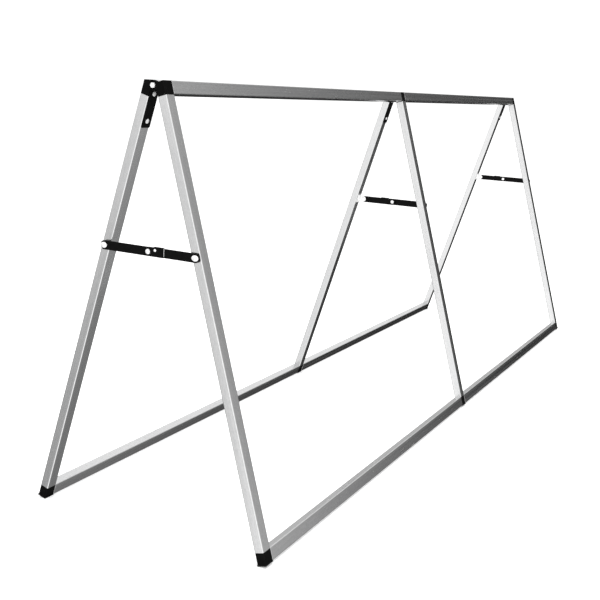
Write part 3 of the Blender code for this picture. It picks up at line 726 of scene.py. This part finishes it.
def hinge_nut(column):
    """Lock nut: chamfered hexagon, rolled collar and the pale nylon ring inside it."""
    node = f"hinge_nut_{column}"
    sign = -1 if column == "right" else 1
    low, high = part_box(node)
    start = low.x if sign > 0 else high.x
    hex_height = 0.0046
    collar = 0.0044
    curl = 0.0008
    insert_radius = 0.0037
    insert_depth = 0.0004
    bore_radius = BOLT_RADIUS + 0.0001
    shape = bmesh.new()
    hexagonal(shape, BOLT_HEAD_FLATS - FLATS_CLEAR, 0, hex_height)
    piece = draft(f"{node}_steel", shape, (ZINC, NYLON))
    corner = corner_of(BOLT_HEAD_FLATS)
    crown = BOLT_HEAD_FLATS / 2 * 0.96
    drop = (corner - crown) * math.tan(math.radians(30))
    cone = bmesh.new()
    turned(cone, [(0, 0), (0, crown), (drop, corner + GAP), (hex_height - drop, corner + GAP),
                  (hex_height, crown), (hex_height, 0)], count=96)
    combine(piece, "INTERSECT", cone)
    inside_hex = hex_height - 0.0005
    rim = arc(NUT_HEIGHT - curl, collar - curl, curl, 90, 0, 6)
    roll = bmesh.new()
    turned(roll, [(inside_hex, 0), (inside_hex, collar)] + rim + [(NUT_HEIGHT, 0)], count=64)
    combine(piece, "UNION", roll)
    bore = bmesh.new()
    turned(bore, [(-GAP, 0), (-GAP, BOLT_RADIUS + 0.0006), (0.0004, bore_radius),
                  (NUT_HEIGHT + GAP, bore_radius), (NUT_HEIGHT + GAP, 0)], count=48)
    combine(piece, "DIFFERENCE", bore)
    soften(piece, 0.0001, 2, 25)
    for face in piece.data.polygons:
        radius = math.hypot(face.center.y, face.center.z)
        at_end = face.center.x > NUT_HEIGHT - insert_depth
        face.material_index = 1 if at_end and radius < insert_radius else 0
    place = along((start, 0, PIVOT_Z), sign)
    return settle(smooth(piece, 28), place, "front_frame", "bright_zinc", node)


def dome(base, height, radius, rim=0.35, dimple=0.0):
    """Profile of a domed head: a short upright rim, then a curve in to a mandrel's dimple, if any."""
    points = [(base, radius)]
    steps = 10
    for step in range(steps + 1):
        turn = math.pi / 2 * step / steps
        points.append((base + height * (rim + (1 - rim) * math.sin(turn)), radius * math.cos(turn)))
    if not dimple:
        return points[:-1] + [(base + height, 0)]
    kept = [point for point in points if point[1] > dimple * 1.2]
    bottom = base + height - 0.0005
    return kept + [(base + height * 0.995, dimple), (bottom, dimple * 0.8), (bottom, dimple * 0.35),
                   (bottom + 0.0002, 0)]


def rivet(name, profile, place, body, *nodes):
    """A turned rivet along local x; the profile runs from its tail outwards."""
    shape = bmesh.new()
    turned(shape, profile, count=56)
    piece = draft(name, shape, (ZINC,))
    return settle(smooth(piece, 40), place, body, "bright_zinc", *nodes)


def recessed_screw(name, place, body):
    """Pan-head screw along local x, with a cross recess."""
    shape = bmesh.new()
    head = dome(0, SCREW_HEAD_HEIGHT, SCREW_HEAD_RADIUS, 0.3)
    point = [(-SCREW_DEPTH, 0), (-SCREW_DEPTH, 0.0008), (-SCREW_DEPTH + 0.002, SCREW_RADIUS)]
    turned(shape, point + [(0, SCREW_RADIUS)] + head, count=56)
    piece = draft(name, shape, (ZINC,))
    half_slot = 0.00042
    half_cross = 0.0022
    recess = 0.0012
    for a, b in ((half_cross, half_slot), (half_slot, half_cross)):
        slot = bmesh.new()
        block(slot, (SCREW_HEAD_HEIGHT - recess, -a, -b), (SCREW_HEAD_HEIGHT + 0.001, a, b))
        combine(piece, "DIFFERENCE", slot)
    return settle(smooth(piece, 40), place, body, "bright_zinc")


# ---------------------------------------------------------------- straps and brackets

def strap(column):
    """Black plate under the hinge, drilled for its two screws."""
    node = f"hinge_strap_{column}"
    low, high = span(node, REAR)
    middle = Vector(((low.x + high.x) / 2, 0, (low.z + high.z) / 2))
    half_long = (high.z - low.z) / 2
    face = INNER_FACE - GAP
    seat = face - STRAP_THICK
    corner = 0.003
    shape = bmesh.new()
    outline = rounded_rectangle((high.x - low.x) / 2, half_long, corner, 8)
    loft(shape, [[(middle.x + a, y, middle.z + b) for a, b in outline] for y in (seat, face)])
    piece = draft(f"{node}_plate", shape, (COAT,))
    soften(piece, 0.0006, 3)
    heights = [FRAME_TOP - below for below in STRAP_SCREWS]
    holes = bmesh.new()
    for z in heights:
        rod(holes, SCREW_RADIUS + SCREW_HOLE_CLEAR, seat - GAP, face + GAP, (middle.x, 0, z), "y")
    combine(piece, "DIFFERENCE", holes)
    settle(smooth(piece), REAR, "rear_frame", "black_steel", node)
    inwards = Matrix.Rotation(-math.pi / 2, 4, "Z")
    for number, z in enumerate(heights, 1):
        place = REAR @ Matrix.Translation((middle.x, seat, z)) @ inwards
        recessed_screw(f"hinge_screw_{column}_{number}", place, "rear_frame")


def hull(points):
    """Convex outline of some (y, z) points."""
    def chain(ordered):
        kept = []
        for point in ordered:
            while len(kept) > 1:
                (a, b), (c, d) = kept[-2:]
                if (c - a) * (point[1] - b) - (d - b) * (point[0] - a) > 1e-12:
                    break
                kept.pop()
            kept.append(point)
        return kept[:-1]
    ordered = sorted(set(points))
    return chain(ordered) + chain(ordered[::-1])


def bracket(column):
    """A plate bent once: one leaf riveted inside the leg, the other carrying the stay's pivot."""
    node = f"stay_bracket_{column}"
    low, high = span(node, REAR)
    face = INNER_FACE - GAP
    seat = face - BRACKET_THICK
    pivot = REAR.inverted() @ Vector(JOINTS[f"{column}_rear_pivot"]["pos_m"])
    flange_out = high.x
    flange_in = flange_out - BRACKET_THICK
    bend = 0.0026
    inside = bend - BRACKET_THICK
    tip = pivot.y - BRACKET_END_RADIUS
    section = arc(flange_out - bend, face - bend, bend, 90, 0, 8) + [(flange_out, tip), (flange_in, tip)]
    section += arc(flange_in - inside, seat - inside, inside, 0, 90, 5) + [(low.x, seat), (low.x, face)]
    edges = (pivot.z - BRACKET_HALF, pivot.z + BRACKET_HALF)
    shape = bmesh.new()
    loft(shape, [[(a, b, z) for a, b in section] for z in edges])
    piece = draft(f"{node}_plate", shape, (ZINC,))
    silhouette = [(y, z) for y in (seat - inside, face + GAP) for z in edges]
    eye = [(pivot.y + a, pivot.z + b) for a, b in circle(BRACKET_END_RADIUS, 64)]
    outline = bmesh.new()
    slab(outline, hull(silhouette + eye), low.x - GAP, flange_out + GAP)
    combine(piece, "INTERSECT", outline)
    soften(piece, 0.0002, 2, 40)
    holes = bmesh.new()
    rod(holes, RIVET_RADIUS + GAP, flange_in - GAP, flange_out + GAP, (0, pivot.y, pivot.z))
    leg_middle = span(f"rear_leg_{column}", REAR)[0].x + HALF_WIDTH
    for z in bracket_rivet_heights():
        rod(holes, SCREW_RADIUS + SCREW_HOLE_CLEAR, seat - GAP, face + GAP, (leg_middle, 0, z), "y")
    combine(piece, "DIFFERENCE", holes)
    settle(smooth(piece), REAR, "rear_frame", "bright_zinc", node)
    inwards = Matrix.Rotation(-math.pi / 2, 4, "Z")
    blind_end = [(-SCREW_DEPTH, 0), (-SCREW_DEPTH, 0.0015), (-SCREW_DEPTH + 0.001, SCREW_RADIUS)]
    profile = blind_end + [(0, SCREW_RADIUS)] + dome(0, 0.0018, 0.0042, 0.2, 0.0011)
    for number, z in enumerate(bracket_rivet_heights(), 1):
        place = REAR @ Matrix.Translation((leg_middle, seat, z)) @ inwards
        rivet(f"stay_bracket_{column}_rivet_{number}", profile, place, "rear_frame")


# ---------------------------------------------------------------- stays

LEFT_OUTER_BAR = 0.0049
LEFT_INNER_BAR = 0.0026
RIGHT_OUTER_BAR = 0.0077
RIGHT_INNER_BAR = 0.0041
LAP_BEYOND = 0.0395
LAP_STEP = 0.010
LAP_TOP = 0.0005
LIP_START = 0.014
LIP_THICK = 0.0012
STUD_BEYOND = 0.0175
STUD_UP = 0.0042
STUD_RADIUS = 0.0030
PIVOT_BUTTON = 0.0055
BRACKET_OFF_LEG = 0.0018
BARE_FACING = 0.3


def bar_outline(reach, lap):
    """Flat bar from its own pivot at the origin to the middle pivot; a lap runs on past that."""
    toward = math.copysign(1, reach)
    points = [(toward * y, z) for y, z in arc(0, 0, BAR_HALF, 90, 270, 24)]
    if not lap:
        return points + [(reach - y, -z) for y, z in points]
    end = reach + toward * LAP_BEYOND
    chamfer = 0.003
    step = reach + toward * LAP_STEP
    points += [(end - toward * chamfer, -BAR_HALF), (end, chamfer - BAR_HALF)]
    return points + [(end, BAR_HALF - LAP_TOP), (step, BAR_HALF - LAP_TOP), (step, BAR_HALF)]


def stay_bar(column, part, layer, reach, outward, lap, spacer):
    """One bar of a folding stay, in axes at its own pivot; x is measured out of the leg's side."""
    node = f"stay_{column}_{part}_bar"
    body = f"{column}_{part}_bar"
    pivot = JOINTS[f"{column}_{part}_pivot"]["pos_m"]
    outer = layer + BAR_THICK
    if outward < 0:
        reach = -reach
    toward = math.copysign(1, reach)
    shape = bmesh.new()
    slab(shape, bar_outline(reach, lap), layer, outer)
    piece = draft(f"{node}_steel", shape, (COAT, ZINC))
    if lap:
        top = BAR_HALF + GAP + LIP_THICK
        bend = 0.0015
        inside = 0.0003
        root = BAR_HALF - 0.0008
        lip_in = layer - BAR_THICK - GAP
        section = [(outer, root)] + arc(outer - bend, top - bend, bend, 0, 90, 8)
        section += [(lip_in, top), (lip_in, top - LIP_THICK)]
        section += arc(layer - inside, top - LIP_THICK - inside, inside, 90, 0, 4)
        section.append((layer, root))
        ends = sorted((reach + toward * LIP_START, reach + toward * LAP_BEYOND))
        lip = bmesh.new()
        loft(lip, [[(a, y, b) for a, b in section] for y in ends])
        combine(piece, "UNION", lip)
    soften(piece, 0.0003, 2, 40)
    holes = bmesh.new()
    rod(holes, RIVET_RADIUS + GAP, layer - GAP, outer + GAP, (0, 0, 0))
    if lap:
        rod(holes, RIVET_RADIUS + GAP, layer - GAP, outer + GAP, (0, reach, 0))
    combine(piece, "DIFFERENCE", holes)
    if lap:
        for face in piece.data.polygons:
            past_middle = toward * (face.center.y - reach)
            faces_out = face.normal.y * toward > BARE_FACING
            face.material_index = 1 if faces_out and past_middle > LAP_BEYOND - 2 * GAP else 0
    place = along(pivot, outward)
    settle(smooth(piece), place, body, "black_steel", node)
    if lap:
        sunk = 0.0001
        pin = 0.0015
        tail = [(layer - sunk, 0), (layer - sunk, pin), (outer - sunk, pin)]
        tail += dome(outer - sunk, 0.0017, STUD_RADIUS)
        at = place @ Matrix.Translation((0, reach + toward * STUD_BEYOND, STUD_UP))
        rivet(f"stay_{column}_stop_stud", tail, at, body)
    else:
        head = dome(-layer, 0.0020, TAIL_RADIUS, 0.4, 0.0014)
        top = outer + spacer
        profile = [(-x, radius) for x, radius in reversed(head)]
        profile += [(layer, SHOULDER_RADIUS), (top, SHOULDER_RADIUS), (top, 0)]
        at = place @ Matrix.Translation((0, reach, 0))
        rivet(f"stay_{column}_pivot_tail", profile, at, body)


def end_rivet(column, part, layer, reach, outward):
    """A shouldered rivet with its blind end inside the tube and a domed head outside the bar."""
    node = f"stay_{column}_{part}_rivet"
    pivot = JOINTS[f"{column}_{part}_pivot"]["pos_m"]
    head = layer + BAR_THICK + GAP
    wall = -TUBE_WALL - GAP
    profile = [(-0.0040, 0), (-0.0040, 0.0030), (-0.0034, 0.0040), (wall, 0.0043),
               (wall, RIVET_RADIUS), (GAP, RIVET_RADIUS), (GAP, SHOULDER_RADIUS),
               (layer - GAP, SHOULDER_RADIUS), (layer - GAP, RIVET_RADIUS), (head, RIVET_RADIUS)]
    profile += dome(head, reach - head, RIVET_HEAD_RADIUS, 0.35, 0.0016)
    piece = rivet(f"{node}_steel", profile, along(pivot, outward), f"{part}_frame", node)
    for vertex in piece.data.vertices:
        past_shank = math.hypot(vertex.co.y, vertex.co.z) - RIVET_RADIUS
        if vertex.co.x > head - GAP and past_shank > 0:
            vertex.co.y *= 1 + RIVET_HEAD_STRETCH * past_shank / (RIVET_HEAD_RADIUS - RIVET_RADIUS)


def bracket_pivot(column):
    """A low rivet, flat on both sides of the bracket's flange."""
    node = f"stay_{column}_rear_rivet"
    pivot = JOINTS[f"{column}_rear_pivot"]["pos_m"]
    tail = BRACKET_OFF_LEG - GAP
    head = RIGHT_INNER_BAR + BAR_THICK + GAP
    top = RIGHT_OUTER_BAR - GAP
    ease = 0.0003
    end = tail - 0.001
    profile = [(end, 0), (end, SHOULDER_RADIUS - ease), (end + ease, SHOULDER_RADIUS),
               (tail, SHOULDER_RADIUS), (tail, RIVET_RADIUS), (head, RIVET_RADIUS), (head, PIVOT_BUTTON),
               (top - ease, PIVOT_BUTTON), (top, PIVOT_BUTTON - 2 * ease), (top, 0)]
    rivet(f"{node}_steel", profile, along(pivot, 1), "rear_frame", node)


def middle_rivet(column, layer, reach, outward, body):
    """The head of the middle pivot, which turns with the outer bar."""
    node = f"stay_{column}_middle_rivet"
    low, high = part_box(node)
    pivot = JOINTS[f"{column}_front_pivot"]["pos_m"]
    centre = (pivot[0], (low.y + high.y) / 2, pivot[2])
    face = layer + BAR_THICK + GAP
    profile = [(layer, 0), (layer, RIVET_RADIUS), (face, RIVET_RADIUS)]
    profile += dome(face, reach - face, MIDDLE_HEAD_RADIUS, 0.35, 0.0015)
    rivet(f"{node}_steel", profile, along(centre, outward), body, node)


def stay(column):
    front = JOINTS[f"{column}_front_pivot"]["pos_m"]
    rear = JOINTS[f"{column}_rear_pivot"]["pos_m"]
    low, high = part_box(f"stay_{column}_middle_rivet")
    middle = (low.y + high.y) / 2
    if column == "left":
        outer, inner, reach = LEFT_OUTER_BAR, LEFT_INNER_BAR, LEFT_RIVET_REACH
        end_rivet(column, "rear", outer, reach, -1)
        end_rivet(column, "front", inner, reach + inner - outer, -1)
        stay_bar(column, "rear", outer, middle - rear[1], -1, True, 0)
        stay_bar(column, "front", inner, middle - front[1], -1, False, 0)
        middle_rivet(column, outer, reach, -1, f"{column}_rear_bar")
    else:
        outer, inner, reach = RIGHT_OUTER_BAR, RIGHT_INNER_BAR, RIGHT_RIVET_REACH
        bracket_pivot(column)
        end_rivet(column, "front", outer, reach, 1)
        stay_bar(column, "front", outer, middle - front[1], 1, True, 0)
        stay_bar(column, "rear", inner, middle - rear[1], 1, False, outer - inner - BAR_THICK - GAP)
        middle_rivet(column, outer, reach, 1, f"{column}_front_bar")


# ---------------------------------------------------------------- studio

# Brightness of the studio's walls by compass angle from +X, counter-clockwise, at eye height
WALLS = ((-180, 1.3), (-165, 1.3), (-145, 1.2), (-133, 1.5), (-122, 1.4), (-112, 0.9), (-92, 0.80),
         (-60, 0.74), (-42, 0.64), (-30, 0.50), (-10, 0.50), (0, 0.60), (10, 0.46), (20, 0.48),
         (32, 0.48), (48, 0.42), (58, 0.20), (68, 0.20), (80, 0.5), (95, 0.58), (125, 0.70),
         (137, 0.80), (142, 0.95), (144, 1.10), (147, 1.20), (151, 1.04), (155, 1.04), (159, 1.20),
         (164, 1.24), (180, 1.3))
CEILING = 0.98
PLAIN_WHITE = 1.12


def world():
    """White to the eye and to matt surfaces; metal mirrors a soft tent with darker flags in it.

    x, y and z are the direction looked in; each ramp fades one flag in across one of them.
    """
    made = bpy.data.worlds.new("studio")
    made.use_nodes = True
    bpy.context.scene.world = made
    n = Nodes(made.node_tree)
    n.tree.nodes.clear()
    x, y, z = n.add("ShaderNodeSeparateXYZ", {0: n.add("ShaderNodeTexCoord").outputs["Generated"]}).outputs
    turn = n.math("DIVIDE", n.math("ARCTAN2", y, x), 2 * math.pi)
    wall = n.add("ShaderNodeFloatCurve", {"Value": n.math("ADD", turn, 0.5)})
    curve = wall.mapping.curves[0]
    wall.mapping.use_clip = False
    brightest = 2.0
    while len(curve.points) < len(WALLS):
        curve.points.new(0.5, 0.5)
    for point, (degrees, brightness) in zip(curve.points, WALLS):
        point.location = (degrees / 360 + 0.5, brightness / brightest)
        point.handle_type = "VECTOR"
    wall.mapping.update()
    level = n.math("MULTIPLY", wall.outputs["Value"], brightest)
    far = n.ramp(x, -0.2, 0.4)
    flag_x = n.math("ADD", x, n.ramp(z, -0.18, -0.30, 0.0, 0.08))
    flag = n.math("MULTIPLY", n.ramp(flag_x, 0.75, 0.94), n.ramp(y, -0.02, -0.12))
    flag = n.math("MULTIPLY", flag, n.ramp(z, 0.10, 0.30, 1.0, 0.75))
    beside = n.math("MULTIPLY", n.ramp(z, -0.18, -0.30), n.ramp(y, -0.34, -0.42))
    flag = n.math("MULTIPLY", flag, n.math("SUBTRACT", 1.0, beside))
    under = n.math("MULTIPLY", n.ramp(z, -0.06, -0.14), n.ramp(z, -0.50, -0.38))
    under = n.math("MULTIPLY", under, n.ramp(x, 0.45, 0.78, 0.0, 0.97))
    under = n.math("MULTIPLY", under, n.ramp(y, -0.15, -0.05))
    under = n.math("MULTIPLY", under, n.ramp(y, 0.05, 0.15, 0.50, 1.0))
    low_far = n.math("MULTIPLY", n.ramp(z, 0.25, -0.6, 0.0, 0.62), far)
    low_far = n.math("MULTIPLY", low_far, n.ramp(y, -0.44, -0.32, 0.50, 1.0))
    near_back = n.math("MULTIPLY", n.ramp(y, 0.40, 0.66), n.ramp(z, 0.10, -0.42, 0.05, 0.68))
    near_back = n.math("MULTIPLY", near_back, n.math("SUBTRACT", 1.0, far))
    for shade in (flag, under, low_far, near_back):
        level = n.math("MULTIPLY", level, n.math("SUBTRACT", 1.0, shade))
    height = n.math("ADD", z, n.math("MINIMUM", n.math("MULTIPLY", y, 0.5), n.math("MULTIPLY", y, 0.1)))
    ceiling = n.ramp(height, 0.16, 0.42)
    level = n.math("MULTIPLY", level, n.math("SUBTRACT", 1.0, ceiling))
    level = n.math("ADD", level, n.math("MULTIPLY", ceiling, CEILING))
    mirrored = n.add("ShaderNodeBackground", {"Color": level, "Strength": 1.0})
    plain = n.add("ShaderNodeBackground", {"Color": (1, 1, 1, 1), "Strength": PLAIN_WHITE})
    glossy = n.add("ShaderNodeLightPath").outputs["Is Glossy Ray"]
    inputs = {0: glossy, 1: plain.outputs[0], 2: mirrored.outputs[0]}
    mixed = n.add("ShaderNodeMixShader", inputs)
    out = n.add("ShaderNodeOutputWorld")
    n.put(out.inputs["Surface"], mixed.outputs[0])


def floor():
    shape = bmesh.new()
    half = 60.0
    corners = ((-half, -half), (half, -half), (half, half), (-half, half))
    shape.faces.new([shape.verts.new((a, b, 0)) for a, b in corners])
    n = Finish("studio_floor")
    cloud = n.noise(n.stretched(), 0.6, 2.0)
    n.shader.inputs["Emission Color"].default_value = grey(1.0)
    n.shader.inputs["Emission Strength"].default_value = 0.25
    material = n.done(n.blend(cloud, grey(0.93), grey(0.95)), 0.8, 0.0)
    piece = draft("studio_floor", shape, (material,))
    piece.visible_glossy = False


def lamp(name, place, aim, width, height, watts):
    data = bpy.data.lights.new(name, "AREA")
    data.shape = "RECTANGLE"
    data.size = width
    data.size_y = height
    data.energy = watts
    piece = bpy.data.objects.new(name, data)
    piece.location = place
    piece.rotation_euler = (Vector(aim) - Vector(place)).to_track_quat("-Z", "Y").to_euler()
    piece.visible_glossy = False
    bpy.context.scene.collection.objects.link(piece)


CAMERA_PLACE = Vector((-2.8235, -1.1757, 0.9667))
CAMERA_RIGHT = Vector((0.47538, -0.87841, 0.04909))
CAMERA_FORWARD = Vector((0.86754, 0.45875, -0.19216))
CAMERA_LENS = 57.32
CAMERA_SHIFT = (0.0061, -0.0426)


def camera():
    data = bpy.data.cameras.new("camera")
    data.sensor_width = 36.0
    data.lens = CAMERA_LENS
    data.shift_x, data.shift_y = CAMERA_SHIFT
    data.clip_end = 200.0
    piece = bpy.data.objects.new("camera", data)
    forward = CAMERA_FORWARD.normalized()
    right = (CAMERA_RIGHT - forward * CAMERA_RIGHT.dot(forward)).normalized()
    axes = Matrix((right, right.cross(forward), -forward)).transposed().to_4x4()
    piece.matrix_world = Matrix.Translation(CAMERA_PLACE) @ axes
    bpy.context.scene.collection.objects.link(piece)
    bpy.context.scene.camera = piece


def build():
    for prefix in SIDES:
        for column in COLUMNS:
            leg_tube(prefix, column)
            moulding(prefix, "top", column)
            moulding(prefix, "bottom", column)
            foot(prefix, column)
        for level in ("top", "bottom"):
            for half in ("left", "right"):
                rail_tube(prefix, level, half)
    for column in COLUMNS:
        hinge_bolt(column)
        hinge_nut(column)
        strap(column)
        stay(column)
    for column in ("middle", "right"):
        bracket(column)


build()
world()
floor()
lamp("overhead", (-0.6, 0.0, 4.5), aim=(0, 0, 0.4), width=5.0, height=4.0, watts=150.0)
camera()
bpy.context.scene.view_settings.view_transform = "Standard"
